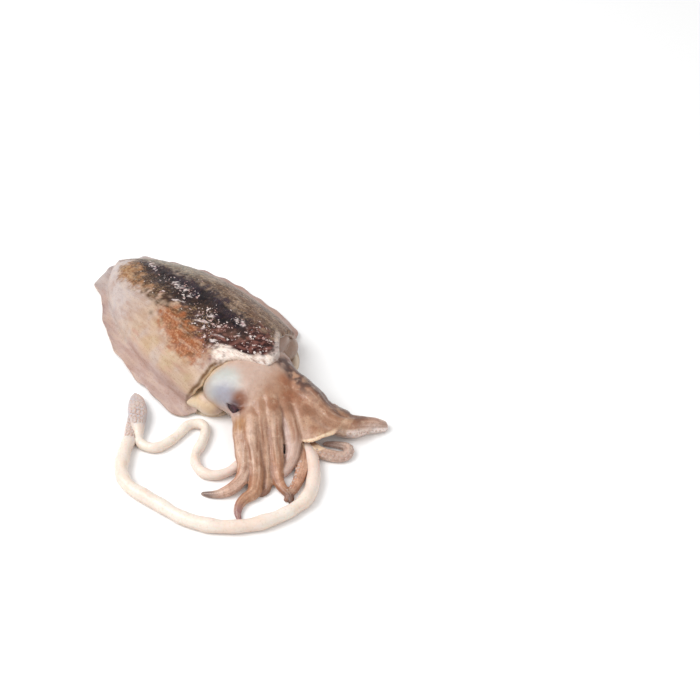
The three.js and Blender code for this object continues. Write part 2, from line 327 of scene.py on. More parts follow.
def frayed(share, rough):
    """A soft share whose edge is broken up by noise."""
    return np.clip(share + rough * 2.4 * share * (1 - share), 0, 1)


# Where each colour of the skin lies, by s along the sac and by degrees round it: the far and near
# edges of the dark band, the lower edge of the gold and orange, and the worn white edge at the lip.
round_far = np.interp(
    s, [0, 0.1, 0.3, 0.45, 0.6, 0.7, 0.8, 0.9, 1], [114, 115, 113, 115, 115, 110, 110, 114, 112])
round_near = np.interp(
    s, [0.05, 0.1, 0.15, 0.2, 0.3, 0.4, 0.5, 0.56, 0.62, 0.7, 0.8, 0.9, 1],
    [108, 104, 97, 89, 80, 77, 77, 80, 83, 77, 71, 66, 62])
round_pale = np.interp(
    s, [0.05, 0.15, 0.3, 0.4, 0.55, 0.65, 0.75, 0.85, 0.92], [76, 54, 63, 70, 60, 51, 43, 41, 46])
white_from = np.interp(round_sac, [60, 66, 78, 86, 96], [0.98, 0.918, 0.93, 0.958, 0.98])

large, middling, small, tiny = blotch(10, 3.7), blotch(5, 8.1), blotch(2.7, 5.5), blotch(1.6, 2.9)
streaky = blotch(2.6, 6.2, 4.0)

outer = (lip < 0.5) & top_side
dark = between(round_sac, round_near - 1.5, round_far + 1.5, 15) * between(s, 0.07, 1.1, 0.07) * outer
dark = frayed(dark, middling * 0.8 + small * 0.7)
olive = between(round_sac, round_near - 11, round_near + 8, 16) * between(s, 0.12, 0.78, 0.14) * outer
gold = between(round_sac, round_pale, round_near + 10, 22) * between(s, 0.05, 0.46, 0.12) * outer
orange = between(round_sac, round_pale, round_near + 10, 16) * between(s, 0.54, 0.94, 0.12) * outer
far = after(round_sac - round_far, -10, 16) * before(round_sac, 142, 26) * outer * (1 - fin)
front = np.maximum(after(s, 0.72, 0.08) * ease((98 - round_sac) / 8), after(s, 0.79, 0.07)) * outer
torn = after(s - white_from, -0.03, 0.06) * between(round_sac, 62, 99, 9) * top_side
torn = frayed(torn, middling * 0.7 + small * 0.9)
far_lip = between(round_sac, 99, 126, 8) * after(s, 0.962, 0.02) * top_side
brown_line = before(round_sac, 60, 8) * between(s, 0.994, 1.2, 0.006) * (lip < 0.2) * top_side
brown_line = brown_line * (1 - fin)
worn = 0.05 + 0.55 * patch(0.43, 95, 0.09, 7) + 0.6 * patch(0.68, 86, 0.09, 9)
worn = worn + 0.5 * patch(0.77, 101, 0.04, 6) + 0.34 * front

# Bigger flaps of pale skin that still hang on the dark band.
FLAPS = [
    # s, degrees, half size in millimetres
    (0.15, 114, 2.0), (0.17, 111, 2.2), (0.19, 109, 2.4), (0.215, 106, 2.2), (0.38, 97, 3.2),
    (0.43, 96, 3.0), (0.50, 92, 2.2), (0.52, 81, 2.2), (0.655, 84, 1.8), (0.667, 91, 2.2),
    (0.72, 81, 2.2), (0.75, 102, 2.2), (0.79, 103, 2.4), (0.78, 76, 1.8), (0.84, 81, 1.8),
    (0.88, 74, 2.0), (0.83, 91, 1.6),
]
flap = np.zeros_like(s)
for flap_s, flap_degrees, flap_size in FLAPS:
    along = (s - flap_s) * (RIM_SIDE_X - TAIL_X) * 1.1
    around = np.radians(round_sac - flap_degrees) * sac_half_width(s)
    flap = np.maximum(flap, np.exp(-(along ** 2 + around ** 2) / flap_size ** 2))
flap = after(flap + 0.26 * small + 0.34 * tiny, 0.56, 0.28) * outer * ease(s * 12)

# Soft dents and swellings of the flesh, and the ragged skin over the back and at the lip.
calm = (1 - fin) * top_side * ease(s * 6)
swelling = lumpy(points, (24.0, 3.1, 0.8), (9.0, 7.7, 0.35), (4.2, 1.9, 0.16))
ragged = ripple_noise(points, 2.4, 4.4) * 0.16 + np.abs(ripple_noise(points, 3.4, 8.2)) * 0.3
points[..., 2] += (swelling * calm + ragged * np.maximum(dark, torn) + 0.3 * flap) * (lip == 0)
points[..., 1] += ripple_noise(points, 14.0, 1.3) * 0.4 * side * calm * (1 - rise) * (lip == 0)
tatters = lumpy(points, (3.0, 6.1, 0.9), (1.3, 2.1, 0.35)) * after(s, 0.95, 0.05)
points[..., 0] += tatters * between(round_sac, 60, 120, 10) * top_side * (inner == 0)
points[..., 2] = np.maximum(points[..., 2], 0)

PEACH = paint(189, 163, 141)
FLANK_PINK = paint(185, 173, 171)
FLANK_YELLOW = paint(184, 164, 124)
CREASE_PINK = paint(186, 140, 128)
TAIL_LILAC = paint(192, 184, 184)
FIN_PINK = paint(182, 158, 151)
FIN_EDGE_LILAC = paint(164, 143, 141)
UNDER_CREAM = paint(210, 192, 176)
RIM_TAN = paint(222, 196, 160)
RIM_GREY = paint(200, 186, 179)
LINE_BROWN = paint(120, 90, 60)
LOWER_LIP_PALE = paint(220, 204, 184)
INNER_CREAM_AND_PAINTED_LIGHT = paint(244, 226, 196)
MOUTH_SHADE_BROWN = paint(150, 122, 108)
GOLD = paint(140, 92, 46)
GOLD_PALE = paint(158, 116, 66)
OLIVE_BROWN = paint(78, 56, 38)
ORANGE = paint(154, 86, 42)
ORANGE_PINK = paint(168, 110, 78)
OCHRE_DARK = paint(108, 74, 42)
FAR_SHEEN_GREY = paint(132, 129, 119)
FAR_BROWN = paint(94, 73, 60)
FAR_DARK = paint(58, 48, 44)
FAR_PINK = paint(138, 114, 102)
BLACK = paint(22, 15, 19)
BLACK_BROWN = paint(46, 30, 26)
SLATE = paint(46, 40, 48)
PURPLE = paint(42, 28, 48)
MAROON = paint(54, 22, 22)
MAROON_PINK = paint(128, 84, 76)
FLAP_PINK = paint(176, 150, 154)
FLAP_WHITE = paint(224, 212, 210)
TORN_CREAM = paint(250, 240, 232)
TORN_BROWN = paint(150, 112, 96)

# The pale flesh of the flanks, the fins, the underside, the lip and the inside of the mouth.
pale_skin = layered(
    PEACH,
    (FLANK_PINK, before(s, 0.26, 0.36) * 0.9),
    (TAIL_LILAC, before(s, 0.05, 0.1)),
    (FLANK_YELLOW, ease(large * 0.7 + middling * 0.2) * after(s, 0.4, 0.3) * 0.45),
    (FLANK_PINK, ease(-large * 0.7 + middling * 0.2) * 0.5),
    (CREASE_PINK, ease(streaky * 0.9 - 0.15) * between(round_sac, 4, 36, 14) * after(s, 0.3, 0.2) * 0.45),
    (FAR_PINK, after(round_sac, 115, 20)),
    (FIN_PINK, ease(fin * 2.5) * 0.9),
    (FIN_EDGE_LILAC, after(fin, 0.5, 0.5) * 0.85),
    (LINE_BROWN, brown_line * 0.85),
    (UNDER_CREAM, ~top_side),
    (RIM_TAN, after(lip, 0.15, 0.2) * (round_sac < 66) * top_side),
    (FIN_PINK, np.maximum(ease(fin * 3) * (inner == 0), before(round_sac, 8, 12)) * (s > 0.5)),
    (TAIL_LILAC, before(s, 0.06, 0.1) * 0.8 * top_side),
    (RIM_GREY, after(lip, 0.2, 0.3) * (round_sac > 66) * top_side),
    (LOWER_LIP_PALE, after(s, 0.93, 0.05) * ~top_side),
    # The mouth's lining: its own cream colour, painted paler to offset the shade inside the mouth.
    (INNER_CREAM_AND_PAINTED_LIGHT, ease(inner / 0.15)),
    # Painted shade: dark brown inside the mouth on its far side.
    (MOUTH_SHADE_BROWN, ease(inner / 0.15) * after(points[..., 1], 8, 14)),
)
gold_skin = layered(
    GOLD,
    (GOLD_PALE, ease(small * 0.7 + 0.35 + 0.5 * (1 - gold))),
    (OLIVE_BROWN, ease(middling * 0.6 + tiny * 0.6 - 0.1) * 0.8),
)
orange_skin = layered(
    ORANGE,
    (ORANGE_PINK, patch(0.65, 54, 0.07, 7)),
    (ORANGE_PINK, ease(small * 0.7 + tiny * 0.3 - 0.1) * 0.5),
    (OCHRE_DARK, ease(middling * 0.5 - small * 0.5 - 0.1) * 0.6),
)
# The far side: a painted grey sheen of reflected light by the tail, then brown with darker and paler
# streaks.
far_skin = layered(
    FAR_SHEEN_GREY,
    (FAR_BROWN, after(s, 0.34, 0.3)),
    (FAR_DARK, ease(streaky * 0.6 + small * 0.5 - 0.05) * after(s, 0.3, 0.3) * 0.6),
    (FAR_PINK, ease(-streaky * 0.7 + tiny * 0.4 - 0.1) * after(s, 0.3, 0.3) * 0.5),
    (FAR_DARK, before(round_sac - round_far, -4, 22) * 0.75),
)
# The dark band: black with brown, purple and slate in it, and maroon towards the lip.
band_skin = layered(
    BLACK,
    (BLACK_BROWN, ease(middling * 0.8 + 0.4)),
    (OLIVE_BROWN, ease((round_near + 12 - round_sac) / 14 + small * 0.5) * (1 - front) * 0.6),
    (SLATE, ease((round_sac - round_far + 14) / 16 + middling * 0.5) * (1 - front) * 0.8),
    (PURPLE, ease(large * 0.7 + small * 0.4) * (1 - front) * 0.6),
)
front_skin = layered(
    MAROON,
    (MAROON_PINK, ease(small * 0.8 + tiny * 0.5 + 0.4)),
    (FAR_BROWN, patch(0.82, 92, 0.05, 8) * 0.7),
    (BLACK, ease(middling * 0.8 - 0.25) * 0.8),
    (BLACK, patch(0.80, 98.5, 0.06, 2.5) * 0.9),
)
torn_skin = layered(
    TORN_CREAM,
    (TORN_BROWN, ease(small * 0.6 + tiny * 0.6 - 0.3) * 0.8),
    (MAROON, ease(tiny * 0.7 - middling * 0.5 - 0.45) * 0.8),
)
tint = layered(
    pale_skin,
    (gold_skin, frayed(gold, middling * 0.7 + tiny * 0.5) * 0.95),
    (orange_skin, frayed(orange, middling * 0.6 + small * 0.5) * 0.97),
    (GOLD_PALE, patch(0.88, 43, 0.03, 4) * 0.6),
    (OLIVE_BROWN, frayed(olive * 0.62, middling * 0.8 + small * 0.8)),
    (OLIVE_BROWN, patch(0.524, 55.4, 0.016, 2.5) * 0.8 * outer),
    (far_skin, far),
    (layered(band_skin, (front_skin, front)), dark),
    (layered(FLAP_PINK, (FLAP_WHITE, ease(tiny * 0.8 + 0.5))), flap * 0.92),
    (torn_skin, torn * 0.95),
    (RIM_GREY, far_lip * np.clip(0.95 - 0.35 * small, 0, 1)),
    (LINE_BROWN, brown_line * 0.5),
)
stained = np.clip(np.maximum(np.maximum(gold, orange), far), 0, 1)
marks = np.stack([dark * (1 - torn), torn, stained, worn * (1 - flap)], -1)
mantle = skin_over("mantle", points, {"tint": tint, "marks": marks})


class WetFlesh:
    """A material of soft flesh under a wet film, with short calls for the nodes of its pattern."""

    def __init__(self, name, softness, gloss, film, film_roughness=0.15, colour=None):
        self.made = bpy.data.materials.new(name)
        self.made.use_nodes = True
        self.tree = self.made.node_tree
        self.shader = self.tree.nodes["Principled BSDF"]
        for socket, value in (
            ("Subsurface Weight", softness),
            ("Subsurface Radius", (1.0, 0.45, 0.3)),
            ("Subsurface Scale", 0.002),
            ("Specular IOR Level", gloss),
            ("Coat Weight", film),
            ("Coat Roughness", film_roughness),
        ):
            self.shader.inputs[socket].default_value = value
        self.place = self.add("TexCoord").outputs["Object"]
        self.colour = colour or self.attribute("tint")["Color"]

    def add(self, kind, inputs=None, **settings):
        """A shader node. An input is a value or another node's output."""
        made = self.tree.nodes.new("ShaderNode" + kind)
        for name, value in settings.items():
            setattr(made, name, value)
        for key, value in (inputs or {}).items():
            if isinstance(value, bpy.types.NodeSocket):
                self.tree.links.new(value, made.inputs[key])
            else:
                made.inputs[key].default_value = value
        return made

    def sum(self, kind, first, second):
        return self.add("Math", {0: first, 1: second}, operation=kind).outputs[0]

    def times(self, first, second):
        return self.sum("MULTIPLY", first, second)

    def step(self, value, low, high):
        """0 under low, 1 over high, smooth between."""
        inputs = {"Value": value, "From Min": low, "From Max": high}
        return self.add("MapRange", inputs, interpolation_type="SMOOTHSTEP").outputs["Result"]

    def over(self, share, under_colour, colour, kind="MIX"):
        """A colour laid over another by its share."""
        inputs = {0: share}
        for key, value in ((6, under_colour), (7, colour)):
            inputs[key] = value if isinstance(value, bpy.types.NodeSocket) else (*paint(*value), 1.0)
        return self.add("Mix", inputs, data_type="RGBA", blend_type=kind).outputs[2]

    def stain(self, colour, *shares, kind="MIX"):
        """Lays a colour over the pattern so far, by its shares multiplied together. A share is a
        number, a node's output, or an output with the bounds of a step."""
        shares = [self.step(*share) if isinstance(share, tuple) else share for share in shares]
        share = shares.pop()
        while shares:
            share = self.times(shares.pop(), share)
        self.colour = self.over(share, self.colour, colour, kind)

    def cloud(self, size, detail=4.0, stretch=(1, 1, 1), place=None):
        """Noise from 0 to 1 whose lumps are about `size` millimetres."""
        at = self.add("Mapping", {"Vector": place or self.place, "Scale": stretch}).outputs[0]
        inputs = {"Vector": at, "Scale": 1 / (size * MM), "Detail": detail, "Roughness": 0.6}
        return self.add("TexNoise", inputs).outputs["Fac"]

    def bent_place(self, size, strength):
        """Object coordinates pushed about by noise, both in millimetres."""
        push = self.add("TexNoise", {"Vector": self.place, "Scale": 1 / (size * MM), "Detail": 2.0})
        inputs = {0: push.outputs["Color"], 1: (strength * MM,) * 3}
        push = self.add("VectorMath", inputs, operation="MULTIPLY").outputs[0]
        return self.add("VectorMath", {0: self.place, 1: push}, operation="ADD").outputs[0]

    def flakes(self, size, place, chance, gap):
        """1 on flat-sided flakes of about `size` millimetres, on a share of places."""
        scale = {"Vector": place, "Scale": 1 / (size * MM)}
        luck = self.add("TexVoronoi", scale).outputs["Color"]
        luck = self.add("SeparateColor", {"Color": luck}).outputs[0]
        inner = self.add("TexVoronoi", scale, feature="DISTANCE_TO_EDGE").outputs["Distance"]
        return self.times(self.sum("LESS_THAN", luck, chance), self.step(inner, gap, gap + 0.08))

    def spots(self, size, chance):
        """Round pigment spots whose cells are about `size` millimetres wide."""
        cells = self.add("TexVoronoi", {"Vector": self.place, "Scale": 1 / (size * MM)})
        luck = self.add("SeparateColor", {"Color": cells.outputs["Color"]}).outputs[1]
        inside = self.step(cells.outputs["Distance"], 0.36, 0.2)
        return self.times(inside, self.sum("LESS_THAN", luck, chance))

    def attribute(self, name):
        return self.add("Attribute", attribute_name=name).outputs

    def numbers(self, name):
        """The four numbers of a named attribute."""
        found = self.attribute(name)
        split = self.add("SeparateColor", {"Color": found["Color"]}).outputs
        return split[0], split[1], split[2], found["Alpha"]

    def finish(self, relief, uneven_gloss, *bumps):
        """Joins the pattern to the shader: its relief in millimetres, the noise that its gloss
        follows between two roughnesses, and the noises that make the relief, by their shares."""
        inputs = dict(zip(("Value", "To Min", "To Max"), uneven_gloss))
        roughness = self.add("MapRange", inputs).outputs["Result"]
        height = 0.0
        for bump, share in bumps:
            height = self.sum("ADD", height, self.times(bump, share))
        bump = self.add("Bump", {"Strength": 0.6, "Distance": relief * MM, "Height": height})
        self.tree.links.new(self.colour, self.shader.inputs["Base Color"])
        self.tree.links.new(roughness, self.shader.inputs["Roughness"])
        self.tree.links.new(bump.outputs[0], self.shader.inputs["Normal"])
        return self.made


skin = WetFlesh("sac_skin", softness=0.05, gloss=0.1, film=0.15)
dark_here, torn_here, stained_here, worn_here = skin.numbers("marks")
broad = skin.cloud(14)
patches = skin.cloud(6, detail=5)
lumps = skin.cloud(3.4, detail=5)
fine = skin.cloud(1.4)
grain = skin.cloud(0.6, detail=2)
streaks = skin.cloud(3.2, stretch=(0.2, 1, 1))

# Everywhere faint broad patches, and on the paler skin streaks along the body and pigment spots.
plain_here = skin.sum("SUBTRACT", 1.0, dark_here)
skin.stain((232, 208, 190), (broad, 0.35, 0.65), 0.4, kind="MULTIPLY")
skin.stain((206, 182, 160), (streaks, 0.46, 0.64), plain_here, 0.3)
skin.stain((150, 112, 90), (streaks, 0.5, 0.36), plain_here, 0.26)
skin.stain((130, 90, 68), skin.spots(1.2, 0.6), 0.3)
# A finer mottle where the skin is coloured, and the grain of the dark skin.
skin.stain((96, 64, 44), (fine, 0.5, 0.66), stained_here, 0.5)
skin.stain((214, 176, 136), (fine, 0.5, 0.34), stained_here, 0.35)
skin.stain((92, 68, 62), (fine, 0.52, 0.68), dark_here, 0.35)
skin.stain((22, 15, 18), (lumps, 0.48, 0.34), dark_here, 0.6)
# Pale flakes where the dark skin is worn off.
worn_chance = skin.times(worn_here, skin.step(patches, 0.36, 0.6))
bent = skin.bent_place(1.6, 1.6)
chips = skin.flakes(1.9, bent, skin.times(worn_chance, 0.4), 0.06)
specks = skin.flakes(1.0, bent, skin.times(worn_chance, 0.5), 0.08)
chips = skin.times(skin.sum("MAXIMUM", chips, specks), skin.step(dark_here, 0.15, 0.5))
chip_colour = skin.over(skin.step(lumps, 0.42, 0.58), (224, 208, 203), (176, 138, 132))
skin.stain(chip_colour, chips, 0.9)
skin.stain((170, 130, 112), (fine, 0.52, 0.66), torn_here, 0.3)

mantle.data.materials.append(skin.finish(
    0.7, (lumps, 0.22, 0.62), (lumps, 0.8), (fine, 0.5), (grain, 0.2), (dark_here, 0.35), (chips, -0.3)))
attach(mantle, "root")
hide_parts("cuttlefish")

# ---- The head, the arms and the skirt between them --------------------
# One soft piece: the head with a swelling over each eye, the neck that fills the sac's mouth, the
# funnel below it, eight tapered arms, and the skirt of skin that joins the upper ones.

HEAD_X, HEAD_Y, HEAD_Z = 74.0, -5.0, 12.0
HEAD_LENGTH, HEAD_WIDTH, HEAD_HEIGHT = 66.0, 44.0, 30.0
HEAD_TURN = math.radians(-13)
HEAD_SLOPE = 0.35
EYE_RIGHT, EYE_LEFT, EYE_UP = 10.0, 4.0, 4.0
EYE_RADIUS, EYE_BACK, EYE_Z = 13.0, 8.0, 19.0
LUMPS = [
    # segments, middle, half sizes: the neck, then the folds in the mouth's near and far corners
    (48, (46, 3, 14.3), (20, 35.5, 14.3)),
    (32, (51.5, -26, 6.5), (11.5, 14.5, 7.2)),
    (32, (59, -28.5, 7), (11, 9.5, 8)),
    (32, (51.5, 28, 6.5), (11.5, 13, 7.5)),
]
ARMS = [
    # root, heading, radius, taper, where it lands, runs of (length, turn)
    ((77, -15, 13), -56, 7.4, 0.62, 0.9, ((16, 20), (29, 0), (35, -122))),
    ((78, -12, 18), -40, 7.4, 0.60, 0.8, ((48, 8), (13, -16), (6, -52), (19, 94))),
    ((81, -9, 20), -32, 7.0, 0.60, 0.9, ((58, -4), (8, -84))),
    ((82, -4, 20.5), -28, 7.2, 0.62, 0.85, ((33, -8), (20, 3), (15, 40), (7, -80))),
    ((84, -2, 18.5), -12, 7.0, 0.40, 0.95, ((31, -12), (27, -66))),
    ((90, 1, 9), -8, 5.6, 0.50, 0.5, ((26, -16), (46, -54))),
    ((90, 5, 9), -33, 5.4, 0.50, 0.5, ((20, 12), (34, 68), (13, 165), (12, 15))),
    ((70, 8, 17), 4, 10.5, 0.35, 0.95, ((48, 4), (15, 62), (20, -22))),
]
ARM_SKINS = [
    # upper side near the end, right side near the end, tip
    ((216, 184, 166), (184, 116, 80), (92, 80, 80)),
    ((188, 138, 104), (170, 112, 80), (138, 98, 108)),
    ((188, 148, 120), (158, 108, 80), (122, 84, 66)),
    ((180, 124, 88), (152, 102, 74), (74, 50, 44)),
    ((206, 180, 168), (198, 172, 168), (218, 198, 190)),
    ((204, 154, 126), (200, 148, 122), (130, 90, 74)),
    ((214, 194, 184), (196, 168, 156), (206, 180, 170)),
    ((184, 146, 128), (214, 196, 188), (176, 146, 132)),
]
ARM_TIP, ARM_FLATNESS = 0.9, 0.86
ARM_SIDES, ARM_GAP = 32, 0.9
FUNNEL_Z, FUNNEL_BACK, FUNNEL_FRONT = 5.0, 9.0, 5.0
WEB_FROM, WEB_TO = -15.0, 24.0
WEB_REACH, WEB_LEAN = 60.5, 1.5
WEB_MIDDLE = (70.0, 3.0, 20.0)
WEB_RIM_Z, WEB_DROOP = 13.0, 4.0
WEB_ROOT_THICK, WEB_THICK = 9.0, 1.7
WEB_ROWS, WEB_COLUMNS = 70, 66
VOXEL = 0.0006
SOFTENING_ROUNDS, FOLD_ROUNDS = 7, 70
LINE_STEPS = 90
NO_ARM = 9.0  # further from an arm than this many of its radii, a point has none


def signed_power(value, exponent):
    return np.sign(value) * np.abs(value) ** exponent


def line_of(root, heading, runs, distance):
    """The middle line of a chain of arcs: where it is and where it heads after each distance."""
    x = np.full_like(distance, root[0], dtype=float)
    y = np.full_like(distance, root[1], dtype=float)
    way = np.full_like(distance, math.radians(heading), dtype=float)
    left = distance.astype(float).copy()
    for run, turn in runs:
        gone = np.clip(left, 0, run)
        turned = math.radians(turn) * gone / run
        half = turned / 2
        chord = gone * np.sinc(half / np.pi)
        x += chord * np.cos(way + half)
        y += chord * np.sin(way + half)
        way += turned
        left -= gone
    return x, y, way


def length_of(runs):
    return sum(run for run, _ in runs)


def limb(name, root, heading, runs, sides, gap, girth, level, bulge=None):
    """A limb of round rings a `gap` apart, closed at both ends, resting on the floor."""
    length = length_of(runs)
    rings = int(length / gap)
    t = np.concatenate([[0.0], np.linspace(0, 1, rings), [1.0]])
    reach = np.concatenate([[0.0], np.ones(rings), [0.0]])
    x, y, way = line_of(root, heading, runs, t * length)
    angle = np.linspace(0, 2 * np.pi, sides + 1)
    wide, high = girth(t)
    swell = np.ones((len(t), sides + 1)) if bulge is None else bulge(t[:, None], angle[None, :])
    swell[:, -1] = swell[:, 0]
    across = np.cos(angle)[None, :] * (wide * reach)[:, None] * swell
    up = np.sin(angle)[None, :] * (high * reach)[:, None] * swell
    points = np.stack([
        x[:, None] + across * np.sin(way)[:, None],
        y[:, None] - across * np.cos(way)[:, None],
        level(t)[:, None] + up,
    ], -1)
    points[..., 2] = np.maximum(points[..., 2], 0.0)
    return skin_over(name, points, {})


def round_part(segments, rings, rule):
    """A new sphere of radius 1 whose vertices are moved by a rule on their coordinates."""
    bpy.ops.object.select_all(action="DESELECT")
    bpy.ops.mesh.primitive_uv_sphere_add(segments=segments, ring_count=rings, radius=1.0)
    piece = bpy.context.object
    put(piece, rule(*corners_of(piece).T))
    return piece


def joined(pieces, name):
    """Several pieces made one."""
    bpy.ops.object.select_all(action="DESELECT")
    for piece in pieces:
        piece.select_set(True)
    bpy.context.view_layer.objects.active = pieces[0]
    bpy.ops.object.join()
    whole = bpy.context.object
    whole.name = whole.data.name = name
    return whole


def head_shape(x, y, z):
    forward = signed_power(x, 0.9) * HEAD_LENGTH / 2
    left = signed_power(y, 0.9) * HEAD_WIDTH / 2
    slope = 1 - HEAD_SLOPE * ease(x)
    high = HEAD_Z + z * np.where(z > 0, (HEAD_HEIGHT - HEAD_Z) * slope, HEAD_Z)
    away = np.sqrt((forward + EYE_BACK) ** 2 + (np.abs(left) - HEAD_WIDTH / 2) ** 2 + (high - EYE_Z) ** 2)
    swell = np.exp(-((away / EYE_RADIUS) ** 2))
    left = left + np.where(left > 0, EYE_LEFT, -EYE_RIGHT) * swell
    return np.stack([
        HEAD_X + forward * np.cos(HEAD_TURN) - left * np.sin(HEAD_TURN),
        HEAD_Y + forward * np.sin(HEAD_TURN) + left * np.cos(HEAD_TURN),
        high + EYE_UP * swell * z,
    ], -1)


parts = [round_part(72, 40, head_shape)]
for segments, middle, radii in LUMPS:

    def lump(x, y, z):
        return np.stack([x, y, z], -1) * radii + middle

    parts.append(round_part(segments, segments // 2, lump))


def arm_radius(radius, taper, t):
    return ARM_TIP + (radius - ARM_TIP) * np.clip(1 - t, 0, 1) ** taper


def arm_height(root, radius, taper, lands, t):
    lying = arm_radius(radius, taper, t) * ARM_FLATNESS * 0.85
    return mix(root[2], lying, ease(t / lands))


def arm_line(arm, t):
    """An arm's middle line at shares of its length, where it heads there, and how thick it is."""
    root, heading, radius, taper, lands, runs = arm
    x, y, way = line_of(root, heading, runs, t * length_of(runs))
    return np.stack([x, y, arm_height(root, radius, taper, lands, t)], -1), way, arm_radius(radius, taper, t)


for number, (root, heading, radius, taper, lands, runs) in enumerate(ARMS, 1):

    def arm_girth(t):
        thick = arm_radius(radius, taper, t)
        thick = thick * (1 + 0.05 * np.sin(t * 17 + number) + 0.03 * np.sin(t * 39 + 2 * number))
        return thick, thick * ARM_FLATNESS

    def arm_level(t):
        return arm_height(root, radius, taper, lands, t)

    def keel(t, angle):
        ridge = np.radians(100 + 25 * np.sin(t * 4 + number))
        return 1 + 0.12 * np.exp(-(((angle - ridge) / 0.4) ** 2)) * ease(t * 5)

    parts.append(limb(f"arm_{number}", root, heading, runs, ARM_SIDES, ARM_GAP, arm_girth, arm_level, keel))


def funnel_girth(t):
    wide = mix(FUNNEL_BACK, FUNNEL_FRONT, ease(t))
    return wide * 1.25, wide * 0.7


def funnel_level(t):
    return np.full_like(t, FUNNEL_Z)


parts.append(limb("funnel", (44.5, -3.8), -12, ((40, 0),), 28, 1.0, funnel_girth, funnel_level))


def web_reach(across):
    """How far out the skirt's rim is, from its right end (-1) to its left end (1)."""
    return (WEB_REACH + WEB_LEAN * across) * (1 - 0.1 * across ** 4)


# The skirt is a thin sheet: out over its top, round its rim and back below.
part_round, way = np.meshgrid(
    np.linspace(0, 1, WEB_ROWS), np.linspace(0, 2, 2 * WEB_COLUMNS + 1), indexing="ij")
out = 1 - np.abs(1 - way)
above = np.where(way <= 1, 1.0, -1.0)
heading = np.radians(mix(WEB_FROM, WEB_TO, part_round))
across = 2 * part_round - 1
distance = (web_reach(across) + 0.25 * np.sin(part_round * 17)) * mix(0.05, 1, out)
middle = mix(WEB_MIDDLE[2], WEB_RIM_Z, out ** 1.6) - WEB_DROOP * out * across ** 2
middle = middle + 0.8 * np.sin(part_round * 9) * out + 0.2 * np.sin(part_round * 23 + 1) * out
rolled = 1 + 0.35 * between(out, 0.955, 1.1, 0.02)
thick = mix(WEB_ROOT_THICK, WEB_THICK, ease(out * 1.1)) / 2
thick = thick * np.sqrt(np.clip(1.02 - across ** 2, 0, 1)) * rolled
thick = thick * np.sqrt(np.clip(1 - ((out - 0.965) / 0.035).clip(0) ** 2, 0, 1))
points = np.stack([
    WEB_MIDDLE[0] + distance * np.cos(heading),
    WEB_MIDDLE[1] + distance * np.sin(heading),
    middle + above * thick,
], -1)
parts.append(skin_over("skirt", points, {}))

head = joined(parts, "head_and_arms")
fusing = head.modifiers.new("fusing", "REMESH")
fusing.mode = "VOXEL"
fusing.voxel_size = VOXEL
bpy.ops.object.modifier_apply(modifier=fusing.name)
softening = head.modifiers.new("softening", "SMOOTH")
softening.factor = 0.5
softening.iterations = SOFTENING_ROUNDS
bpy.ops.object.modifier_apply(modifier=softening.name)
bpy.ops.object.shade_smooth()


def places_of(piece):
    """A piece's vertices in millimetres."""
    return corners_of(piece) / MM


def normals_of(piece):
    normal = np.empty(len(piece.data.vertices) * 3, np.float32)
    piece.data.vertex_normals.foreach_get("vector", normal)
    return normal.reshape(-1, 3).astype(float)


def move_to(piece, place):
    """Moves a piece's vertices to places in millimetres, none of them under the floor."""
    place[:, 2] = np.maximum(place[:, 2], 0)
    put(piece, place)


def evened(piece, place, rounds):
    """Values at the vertices, averaged with their neighbours' some rounds over."""
    ends = np.empty(len(piece.data.edges) * 2, np.int32)
    piece.data.edges.foreach_get("vertices", ends)
    first, second = ends[0::2], ends[1::2]
    count = len(piece.data.vertices)
    share = np.bincount(first, minlength=count) + np.bincount(second, minlength=count)
    for _ in range(rounds):
        total = np.stack([
            np.bincount(first, place[second, k], count) + np.bincount(second, place[first, k], count)
            for k in range(place.shape[1])
        ], -1)
        place = 0.5 * place + 0.5 * total / np.maximum(share, 1)[:, None]
    return place


place = places_of(head)
normal = normals_of(head)

# Which arm each point belongs to, how far along it, and where round it (0 right, 90 degrees on top).
nearest = np.full(len(place), NO_ARM)
arm_t, arm_number, arm_length, arm_angle = np.zeros((4, len(place)))
t = np.linspace(0, 1, LINE_STEPS)
for number, arm in enumerate(ARMS, 1):
    line, way, thick = arm_line(arm, t)
    gaps = place[:, None, :].astype(np.float32) - line[None].astype(np.float32)
    away = np.sqrt((gaps ** 2).sum(2)) / thick[None]
    at = away.argmin(1)
    best = away[np.arange(len(place)), at]
    to_line = place - line[at]
    right = to_line[:, 0] * np.sin(way[at]) - to_line[:, 1] * np.cos(way[at])
    closer = best < nearest
    nearest = np.where(closer, best, nearest)
    arm_t = np.where(closer, t[at], arm_t)
    arm_number = np.where(closer, number, arm_number)
    arm_length = np.where(closer, length_of(arm[-1]), arm_length)
    arm_angle = np.where(closer, np.arctan2(to_line[:, 2], right), arm_angle)
head_distance = np.linalg.norm((place - [76, -6, 15]) / [34, 30, 30], axis=1)
on_arm = ease((1.7 - nearest) / 0.4) * after(head_distance, 0.75, 0.3)

# Folds: where the surface lies below its own average, and where it stands above it.
fold = ((place - evened(head, place, FOLD_ROUNDS)) * normal).sum(1)

# Wrinkles along the arms, and dents and soft lumps everywhere.
along_arm = np.stack([arm_t * arm_length / 16, arm_angle * 1.6, arm_number * 7], -1)
wrinkle = ripple_noise(along_arm, 1.0) * 0.5 + ripple_noise(along_arm * [1.6, 2.6, 1], 1.0, 3.3) * 0.22
shift = wrinkle * on_arm * ease((1 - arm_t) / 0.4)
shift += lumpy(place, (16.0, 5.0, 0.35), (5.0, 2.0, 0.16), (2.2, 9.0, 0.07))

